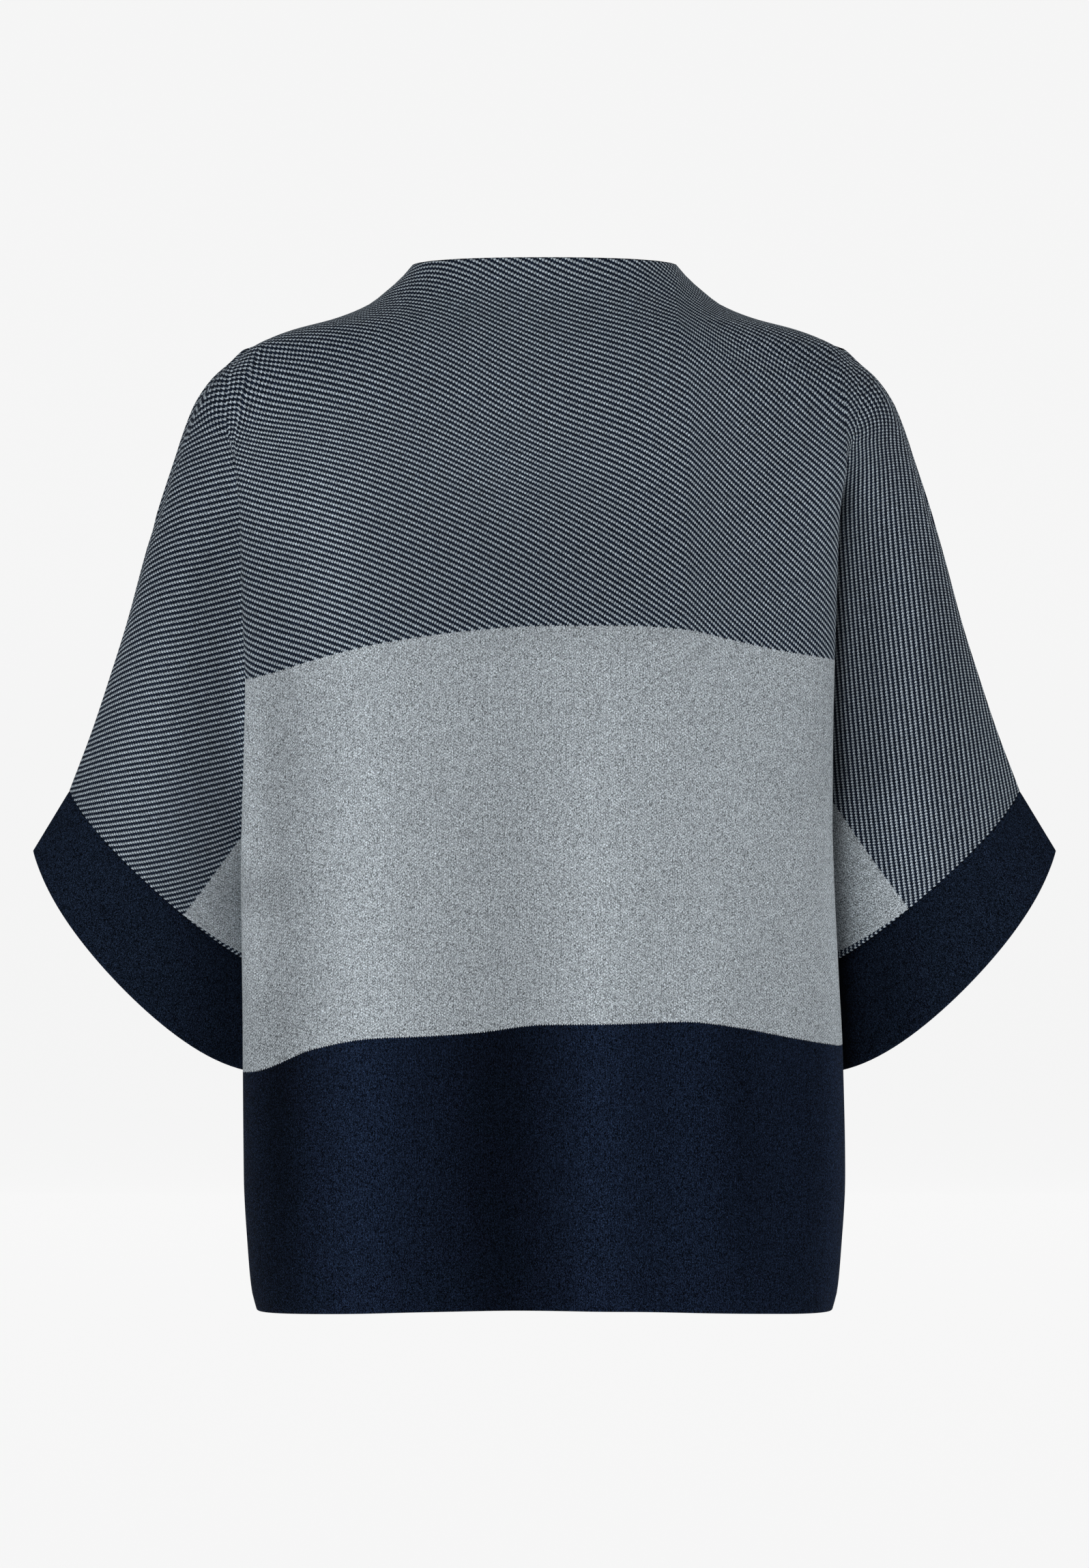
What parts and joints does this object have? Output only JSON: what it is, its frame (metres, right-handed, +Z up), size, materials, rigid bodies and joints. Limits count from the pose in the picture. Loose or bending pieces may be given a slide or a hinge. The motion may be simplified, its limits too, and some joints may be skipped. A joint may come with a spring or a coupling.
{
  "type": "short-sleeve sweater",
  "caption": "Loose fine-knit sweater in its worn, hollow shape: funnel neck, grown-on short sleeves with wide bands, twill-patterned yoke over grey and navy",
  "frame": {"origin": "middle of the shoulder line at the foot of the neck, where the wearer's shoulders carry the garment", "axes": "+Z up; the wearer faces +Y, so the back of the garment faces -Y; +X is the wearer's right side"},
  "size_m": [0.6066, 0.2404, 0.6109],
  "materials": {
    "body_knit": "fine wool-blend knit: navy and light grey twill jacquard, heather grey, dark navy",
    "cuff_knit": "fine plain dark navy knit"
  },
  "bodies": {
    "root": {"back": "body_knit", "front": "body_knit", "cuff_left": "cuff_knit", "cuff_right": "cuff_knit"}
  },
  "joints": []
}
